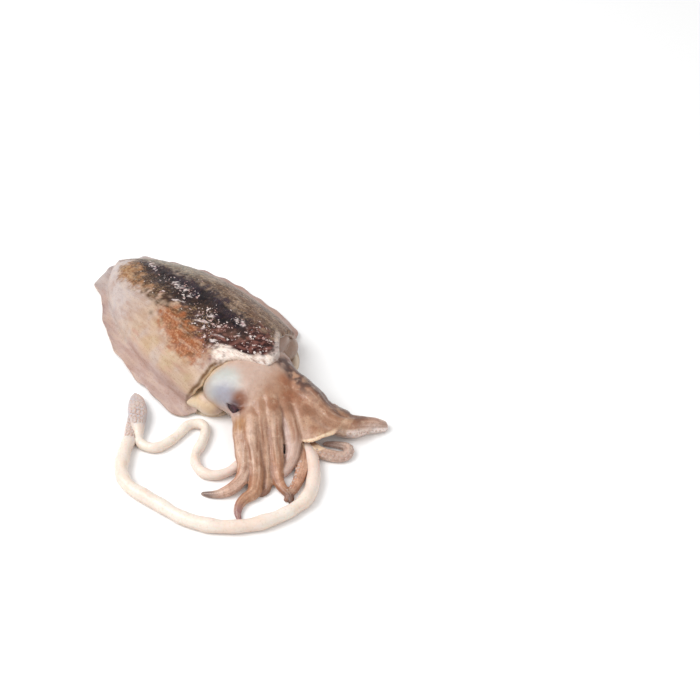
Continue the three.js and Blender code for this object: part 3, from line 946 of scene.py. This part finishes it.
# Each eye is a dark slit that curves like a smile, sunk between two soft lids.
EYES = [
    # side, middle, direction along the slit
    ("right", (80.6, -27.6, 17.6), (0.97, 0.24, 0.05)),
    ("left", (79.0, 25.0, 15.0), (-0.95, 0.31, 0.05)),
]
EYE_PATCH, LID_REACH = 6.0, 9.0
SLIT_HALF_LENGTH, SLIT_HALF_HEIGHT, SLIT_CURVE, SLIT_DROP = 4.4, 1.7, 0.07, 1.4
slit, lower_lid, upper_lid, lid_middle = np.zeros((4, len(place)))
eye_frames = []
for eye_side, middle, along in EYES:
    near = np.linalg.norm(place - middle, axis=1) < EYE_PATCH
    outward = normal[near].mean(0)
    outward /= np.linalg.norm(outward)
    along = np.array(along) - outward * np.dot(along, outward)
    along /= np.linalg.norm(along)
    upward = np.cross(outward, along)
    upward *= np.sign(upward[2])
    middle = place[near].mean(0)
    eye_frames.append((eye_side, middle, along, upward, outward))
    gap = place - middle
    a = gap @ along
    b = gap @ upward - (SLIT_CURVE * a ** 2 - SLIT_DROP)
    half = SLIT_HALF_HEIGHT * np.sqrt(np.clip(1 - (a / SLIT_HALF_LENGTH) ** 2, 0.02, 1))
    close = ease((LID_REACH - np.abs(a)) / 3) * ease((LID_REACH - np.abs(gap @ outward)) / 2)
    slit += before(np.abs(b) / half, 0.7, 0.6) * close * before(np.abs(a - 0.5), SLIT_HALF_LENGTH, 1.6)
    lid_middle += before(np.abs(a), 1.5, 3.5) * close
    upper_lid += np.exp(-(((b - half - 1.1) / 0.9) ** 2)) * close
    lower_lid += np.exp(-((b + half + 1.2) ** 2)) * close
shift += 0.35 * upper_lid + 0.5 * lower_lid - 0.8 * slit
place = place + normal * (shift * ease(place[:, 2] / 3))[:, None]
move_to(head, place)

NECK_PINK = paint(198, 172, 158)
NECK_CREAM = paint(222, 198, 164)
FOLD_PALE = paint(236, 222, 204)
HEAD_TAN = paint(184, 146, 120)
HEAD_BROWN = paint(158, 108, 78)
HEAD_ORANGE = paint(166, 102, 66)
HEAD_GOLD = paint(178, 130, 78)
HEAD_DARK_AND_SHADOW = paint(84, 60, 54)
EYE_PALE = paint(188, 188, 182)
EYE_GREY = paint(170, 158, 152)
EYE_LILAC = paint(158, 157, 172)
EYE_ORANGE = paint(128, 74, 42)
LID_PINK = paint(204, 176, 168)
SLIT_DARK = paint(64, 32, 44)
ARM_TAN = paint(192, 154, 130)
ARM_RIDGE = paint(212, 180, 158)
CREASE_SHADE = paint(112, 74, 54)
ORAL_LILAC = paint(204, 180, 172)
LAST_ARM_BROWN = paint(158, 110, 80)
LAST_ARM_PALE = paint(240, 226, 220)
UNDER_PALE = paint(208, 186, 170)
SKIRT_TAN = paint(178, 138, 110)
SKIRT_CREAM = paint(240, 212, 180)
SKIRT_LINE = paint(166, 126, 98)
EYE_SWELLING = (68, -25, 24)

x, y, z = place.T
facing_y, facing_z = normal[:, 1], normal[:, 2]
rightness, topness = np.cos(arm_angle), np.sin(arm_angle)
blotches = ripple_noise(place, 8.0, 4.0)
stripes = ripple_noise(along_arm * [0.8, 1.8, 1], 1.0, 6.6)


def ball(centre, radius, soft=0.8):
    """1 inside a ball round a point of the head, falling to 0 at its skin."""
    away = np.linalg.norm(place - np.array(centre), axis=1)
    return before(away / radius, 1 - soft, soft)


tint = layered(
    HEAD_TAN,
    (NECK_PINK, before(x + 0.25 * y, 74, 18)),
    (HEAD_BROWN, after(blotches, 0.02, 0.25) * after(x, 84, 14) * 0.75),
    (HEAD_BROWN, ball((104, -3, 20), 13) * 0.6),
    (HEAD_BROWN, ball((94, 3, 23), 11) * 0.8),
    (HEAD_BROWN, ball((90, -8, 25), 6) * 0.5),
    (HEAD_ORANGE, ball((88, 4, 24), 7) * 0.6),
    (HEAD_ORANGE, ball((97, -1, 21), 7) * 0.5),
    (HEAD_ORANGE, ball((106, 8, 18), 8) * 0.5),
    (HEAD_GOLD, ball((94, -32, 15), 7) * 0.8),
    (ARM_TAN, on_arm * 0.6),
    (ARM_RIDGE, after(fold, 0.02, 0.5) * on_arm * 0.75),
    (HEAD_BROWN, after(stripes, 0.04, 0.22) * on_arm * 0.7),
)
for number, (upper, rightward, tip) in enumerate(ARM_SKINS, 1):
    this_arm = (arm_number == number) * on_arm
    near_end = this_arm * after(arm_t, 0.45, 0.3)
    tint = layered(
        tint,
        (paint(*upper), near_end * 0.75),
        (paint(*rightward), near_end * after(rightness, 0.35, 0.4) * 0.85),
        (paint(*tip), this_arm * after(arm_t, 0.82, 0.14) * 0.9),
    )

# The fifth arm shows its inner face. The last one, beyond the skirt, is brown above and pale below.
oral = (arm_number == 5) * after(arm_t, 0.2, 0.12) * on_arm
last_arm = (arm_number == 8) * on_arm * after(x, 112, 10)
last_arm_low = last_arm * (after(rightness, 0.2, 0.3) * before(topness, 0.3, 0.3))
skirt_rim = np.hypot(x - WEB_MIDDLE[0], y - WEB_MIDDLE[1])
skirt_round = np.degrees(np.arctan2(y - WEB_MIDDLE[1], x - WEB_MIDDLE[0]))
rim_reach = web_reach((skirt_round - WEB_FROM) / (WEB_TO - WEB_FROM) * 2 - 1)
on_skirt = between(skirt_round, WEB_FROM + 1, WEB_TO - 1, 2) * (z > 6) * (skirt_rim < rim_reach + 2)
on_rim = on_skirt * after(skirt_rim - rim_reach, -2.6, 0.8)
# The far edge of the head is dark, with a ragged stripe over the neck.
far_edge = after(facing_y, 0.05, 0.5) * after(x, 74, 8) * after(z, 5, 5) * after(y, 5, 5) * before(x, 128, 8)
stripe = after(y, 5.5, 4) * after(x, 72, 5) * before(x, 96, 12)
stripe = stripe * after(z, 12, 5) * np.clip(0.85 + 2.2 * ripple_noise(place, 3.0, 1.7), 0, 1)
tint = layered(
    tint,
    (ORAL_LILAC, oral * after(rightness, 0.1, 0.4) * 0.9),
    (LAST_ARM_BROWN, last_arm * before(arm_t, 0.72, 0.2) * 0.85),
    (LAST_ARM_PALE, last_arm_low * 0.9),
    (SKIRT_CREAM, last_arm * after(-rightness, 0.45, 0.3) * 0.8),
    (SKIRT_TAN, on_skirt * after(skirt_rim, 32, 14) * 0.6),
    (HEAD_BROWN, on_skirt * ease(blotches / 0.2) * after(skirt_rim, 32, 14) * 0.5),
    # Painted shade in folds and creases, where the surface lies below its own average; weaker on the skirt.
    (CREASE_SHADE, after(-fold, 0.12, 0.55) * 0.85 * (1 - 0.6 * on_skirt)),
    (SKIRT_LINE, on_skirt * between(skirt_rim, rim_reach - 3.6, rim_reach - 1.9, 1.2) * 0.5),
    (SKIRT_CREAM, on_rim * (1 - 0.8 * (arm_number == 8) * on_arm) * 0.95),
    (UNDER_PALE, after(-facing_z, 0.1, 0.5) * 0.6 * (1 - ease(-fold / 0.5))),
    (HEAD_DARK_AND_SHADOW, far_edge * 0.85),
    (HEAD_DARK_AND_SHADOW, stripe),
    (EYE_PALE, ball(EYE_SWELLING, 15.5, 0.55)),
    (EYE_GREY, ball((60, -29, 20), 9) * 0.8),
    (EYE_LILAC, ball((73, -28, 22), 12) * 0.85),
    (EYE_PALE, ball((71, 25, 18), 12, 0.5)),
)
for _, middle, along, upward, _ in eye_frames:
    tint = layered(
        tint,
        (EYE_ORANGE, ball(middle + along * 2.6 + upward * 7.0, 8.4, 0.85)),
        (EYE_ORANGE, ball(middle + along * 5.6 + upward * 2.6, 5.2, 0.85) * 0.9),
        (SLIT_DARK, ball(middle + upward * 0.6 + along * 1.2, 6.8, 0.95)),
    )
tint = layered(
    tint,
    (HEAD_GOLD, ball((93, -31.5, 15), 8) * 0.65),
    # Painted shadow below the right eye.
    (HEAD_DARK_AND_SHADOW, ball((80, -31, 9), 6) * 0.6),
    (LID_PINK, np.clip(lower_lid, 0, 1) * np.clip(lid_middle, 0, 1) * 0.8),
    (SLIT_DARK, np.clip(slit, 0, 1) ** 0.5),
    (NECK_CREAM, before(x, 54, 8) * 0.9),
    (NECK_CREAM, before(x, 67, 4) * before(z, 11, 4) * 0.85),
    (FOLD_PALE, before(x, 64, 5) * before(z, 5, 6) * 0.75),
    # Painted shade: dark brown inside the mouth's far side, behind the lip.
    (MOUTH_SHADE_BROWN, before(x, 68, 6) * after(y, 5, 8) * 0.9),
)
mottled = np.clip(0.3 + 0.6 * after(x, 80, 20) - 0.7 * ball(EYE_SWELLING, 17, 0.5), 0.03, 1)
mottled = mottled * (1 - 0.7 * ease(-facing_z / 0.5)) * (1 - 0.6 * oral)
write_colours(head, "tint", tint)
write_colours(head, "marks", np.stack([mottled, on_arm], -1))
write_colours(head, "run", np.stack([arm_t * arm_length / 10, arm_angle, arm_number], -1))

skin = WetFlesh("head_skin", softness=0.15, gloss=0.35, film=0.3)
mottle_here, arm_here, _, _ = skin.numbers("marks")
broad = skin.cloud(12)
lumps = skin.cloud(4, detail=5)
fine = skin.cloud(1.2)
grain = skin.cloud(0.5, detail=2)
lines = skin.cloud(1000, detail=3, stretch=(0.35, 1.7, 3.0), place=skin.attribute("run")["Color"])
skin.stain((226, 198, 182), (broad, 0.35, 0.65), 0.3, kind="MULTIPLY")
skin.stain((132, 90, 66), (lines, 0.48, 0.66), arm_here, 0.4)
skin.stain((222, 194, 174), (lines, 0.48, 0.34), arm_here, 0.3)
skin.stain((128, 84, 60), (lumps, 0.46, 0.66), mottle_here, 0.4)
skin.stain((222, 192, 166), (lumps, 0.46, 0.32), mottle_here, 0.35)
skin.stain((116, 72, 54), skin.spots(0.95, 0.7), mottle_here, 0.5)
arm_lines = skin.times(lines, arm_here)
head.data.materials.append(skin.finish(
    0.5, (lumps, 0.22, 0.55), (lumps, 1.0), (fine, 0.5), (grain, 0.15), (arm_lines, 0.8)))
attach(head, "root")
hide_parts("cuttlefish")

# ---- The eyes --------------------
# A dark wet eyeball shows as a curved slit between the lids on each side of the head. It is a thin
# cap that follows the head's skin, as the rest of the ball lies inside.

BALL_THICKNESS, BALL_PROUD = 0.8, 0.05

skin = WetFlesh("eye_dark", softness=0.0, gloss=0.3, film=0.35, film_roughness=0.12, colour=(34, 15, 22))
murk = skin.cloud(2.0)
skin.stain((86, 44, 56), (murk, 0.42, 0.62))
eye_dark = skin.finish(0.15, (murk, 0.15, 0.3), (murk, 1.0))

bpy.context.view_layer.update()
head_surface = BVHTree.FromObject(head, bpy.context.evaluated_depsgraph_get())


def surface_under(place, direction):
    """Where the head's skin is under a place, looking along a direction, in millimetres."""
    start = Vector((np.array(place) - np.array(direction) * 8) * MM)
    hit, found_normal, _, _ = head_surface.ray_cast(start, Vector(direction))
    if hit is None:
        hit, found_normal, _, _ = head_surface.find_nearest(start)
    return np.array(hit) / MM, np.array(found_normal)


for eye_side, middle, along, upward, outward in eye_frames:

    def eyeball_shape(x, y, z):
        a = x * (SLIT_HALF_LENGTH - 0.4)
        b = y * SLIT_HALF_HEIGHT * 1.15 + SLIT_CURVE * a ** 2 - SLIT_DROP
        spread = np.outer(a, along) + np.outer(b, upward) + middle
        under = np.array([surface_under(p, -outward)[0] for p in spread])
        return under + np.outer(z * BALL_THICKNESS + BALL_PROUD, outward)

    eyeball = round_part(40, 20, eyeball_shape)
    eyeball.name = eyeball.data.name = "eye_" + eye_side
    bpy.ops.object.shade_smooth()
    eyeball.data.materials.append(eye_dark)
    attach(eyeball, "root")
    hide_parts("cuttlefish")

# ---- The two long tentacles --------------------
# Smooth pale cords of muscle that leave the head between the arms and lie in loops on the surface,
# each ending in a flat blade, its club. The free end of one lies on the other's.

TENTACLES = [
    # name, root, heading, radius, lands, runs, club: length, turn, width, thickness, height
    ("tentacle_left", (98, -9, 6), 18, 3.9, 0.08,
     ((19, -22), (12, -20), (27, -33), (11, -30), (77, -80), (25, 2), (21, -54), (15, -14)),
     (31, 20, 9.0, 4.0, 2.2)),
    ("tentacle_right", (94, -28, 7), -26, 2.9, 0.12,
     ((33, -82), (12, -65), (18, -72), (15, 22), (7, 79), (10, 74), (17, -23), (20, -124)),
     (33, 10, 11.5, 4.4, 5.4)),
]
TENTACLE_SIDES, TENTACLE_GAP = 36, 0.8
CLUB_COLUMNS = (-0.62, -0.2, 0.22, 0.62)

IVORY = paint(236, 226, 214)
TENTACLE_PEACH = paint(230, 208, 196)
TENTACLE_SHADE = paint(204, 176, 158)
CLUB_LILAC = paint(192, 180, 180)
CLUB_SHADE_GREY = paint(160, 148, 150)

skin = WetFlesh("ivory_flesh", softness=0.25, gloss=0.35, film=0.3)
broad = skin.cloud(9)
fine = skin.cloud(1.5)
skin.stain((228, 200, 178), (broad, 0.45, 0.66), 0.4)
skin.stain((206, 178, 154), (fine, 0.5, 0.7), 0.3)
ivory_flesh = skin.finish(0.5, (fine, 0.25, 0.5), (broad, 1.0), (fine, 0.5))

club_tops = []
for name, root, heading, radius, lands, runs, club in TENTACLES:
    club_length, club_turn, club_width, club_thick, club_z = club
    stalk_length = length_of(runs)
    whole_length = stalk_length + club_length
    whole = (*runs, (club_length, club_turn))
    share_of_stalk = stalk_length / whole_length

    def along_club(t):
        return np.clip((t - share_of_stalk) / (1 - share_of_stalk), 0, 1)

    def tentacle_girth(t):
        u = along_club(t)
        swell = ease(u / 0.55)
        point = np.clip(1 - u ** 5, 0, 1) ** 0.6
        uneven = 1 + (0.05 * np.sin(t * 43 + radius) + 0.04 * np.sin(t * 101)) * (1 - swell)
        wide = np.where(u > 0, mix(radius, club_width / 2, swell) * point, radius) * uneven
        high = np.where(u > 0, mix(radius, club_thick / 2, swell) * point, radius) * uneven
        return np.maximum(0.7, wide), np.maximum(0.6, high)

    def tentacle_level(t):
        lying = radius * 0.9
        u = along_club(t)
        landing = mix(root[2], lying, ease(t / share_of_stalk / lands))
        lift = np.sin(np.pi * np.minimum(1, u / 0.9)) ** 2 * 0.5 + ease(u * 4) * 0.5
        return np.where(u > 0, mix(lying, club_z, lift), landing)

    tentacle = limb(
        name, root, heading, whole, TENTACLE_SIDES, TENTACLE_GAP, tentacle_girth, tentacle_level)
    at = places_of(tentacle)
    facing_out = normals_of(tentacle)
    t = np.linspace(0, 1, 500)
    x, y, way = line_of(root, heading, whole, t * whole_length)
    tent_t = t[np.hypot(at[:, None, 0] - x[None], at[:, None, 1] - y[None]).argmin(1)]
    on_club = after(tent_t, share_of_stalk, 0.06)
    write_colours(tentacle, "tint", layered(
        IVORY,
        (TENTACLE_PEACH, before(tent_t, 0.12, 0.25) * 0.9),
        (TENTACLE_PEACH, after(ripple_noise(at, 22.0, 4.0), 0.05, 0.4) * 0.5),
        # Painted shade: the tentacles and clubs darker on their lower, downward-facing sides.
        (TENTACLE_SHADE, before(facing_out[:, 2], -0.25, 0.7) * 0.6),
        (CLUB_LILAC, on_club),
        (CLUB_SHADE_GREY, on_club * before(facing_out[:, 2], -0.1, 0.8) * 0.8),
    ))
    move_to(tentacle, at + facing_out * (ripple_noise(at, 6.0, 8.0) * 0.25)[:, None])
    tentacle.data.materials.append(ivory_flesh)
    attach(tentacle, "root")
    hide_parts("cuttlefish")

    # Where the club's suckers sit: rows along its upper face, larger in the middle of the blade.
    for u in np.arange(0.22, 0.95, 0.042):
        t_here = np.array([share_of_stalk + (1 - share_of_stalk) * u])
        x, y, way = line_of(root, heading, whole, t_here * whole_length)
        wide, high = tentacle_girth(t_here)
        level = tentacle_level(t_here)
        for column in CLUB_COLUMNS:
            bumped = column + 0.1 * math.sin(u * 90 + column * 9)
            rise = math.sqrt(1 - bumped ** 2)
            club_tops.append((
                (x[0] + bumped * wide[0] * math.sin(way[0]), y[0] - bumped * wide[0] * math.cos(way[0]),
                 level[0] + high[0] * rise),
                (bumped * math.sin(way[0]) * 0.5, -bumped * math.cos(way[0]) * 0.5, rise),
                0.62 * (1.1 - abs(column) * 0.6) * (1 - u ** 4) + 0.12,
            ))

# ---- The suckers --------------------
# Small pale cups of muscle with a dark pit, in rows on the inner faces of the arms and on the clubs.
# One is modelled, and the others are copies of it.

SUCKER_ROWS = [
    # arm, from t to t, degrees round the arm (0 right side, 90 top), gap along it, radius
    (5, 0.42, 0.90, 8, 2.5, 0.9),
    (6, 0.40, 0.95, 24, 2.3, 1.05),
    (6, 0.42, 0.93, 56, 2.4, 0.9),
    (7, 0.42, 0.96, 20, 2.3, 0.85),
    (7, 0.43, 0.95, 58, 2.3, 0.75),
    (8, 0.72, 0.94, 8, 2.6, 0.9),
]
CLEAR_OF_ARM = 1.2  # a seat found further out than this lies on another limb
CUP_PINK = paint(204, 180, 168)
PIT_BROWN = paint(140, 100, 90)


def cup_shape(x, y, z):
    """A cup of radius 1: a rounded rim round a pit, on a short foot."""
    away = np.minimum(1, np.hypot(x, y))
    rim = 0.62 * np.sin(np.pi * away) ** 0.7
    return np.stack([x, y, np.where(z > 0, rim, -0.6 * np.sqrt(1 - away ** 2))], -1)


sucker = round_part(10, 8, cup_shape)
cup = places_of(sucker)
pit = 1 - ease(np.hypot(cup[:, 0], cup[:, 1]) / 0.5)
write_colours(sucker, "tint", layered(CUP_PINK, (PIT_BROWN, pit * (cup[:, 2] > -0.1))))

seats = list(club_tops)
for number, t_from, t_to, degrees, gap, size in SUCKER_ROWS:
    arm = ARMS[number - 1]
    ts = np.arange(t_from, t_to, gap / length_of(arm[-1]))
    for step, (t, middle, way, thick) in enumerate(zip(ts, *arm_line(arm, ts))):
        round_arm = math.radians(degrees + 7 * math.sin(step * 2.4 + number))
        flat = math.cos(round_arm)
        direction = np.array([flat * math.sin(way), -flat * math.cos(way), math.sin(round_arm)])
        found, outward = surface_under(middle + direction * thick, -direction)
        if np.linalg.norm(found - middle) > thick + CLEAR_OF_ARM:
            continue
        seats.append((found, outward, size * (0.45 + 0.55 * min(1, thick / 5)) * (1 - 0.3 * (t > 0.85))))

copies = []
for seat, outward, size in seats:
    copy = sucker.copy()
    copy.data = sucker.data.copy()
    bpy.context.collection.objects.link(copy)
    turn = np.array(Vector(outward).to_track_quat("Z", "Y").to_matrix())
    move_to(copy, (cup * size) @ turn.T + np.array(seat))
    copies.append(copy)
suckers = joined(copies, "suckers")
bpy.ops.object.shade_smooth()
bpy.data.objects.remove(sucker)
skin = WetFlesh("sucker_flesh", softness=0.2, gloss=0.4, film=0.3)
fine = skin.cloud(0.8)
skin.stain((196, 160, 146), (fine, 0.46, 0.66), 0.4)
suckers.data.materials.append(skin.finish(0.2, (fine, 0.25, 0.45), (fine, 1.0)))
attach(suckers, "root")
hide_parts("cuttlefish")
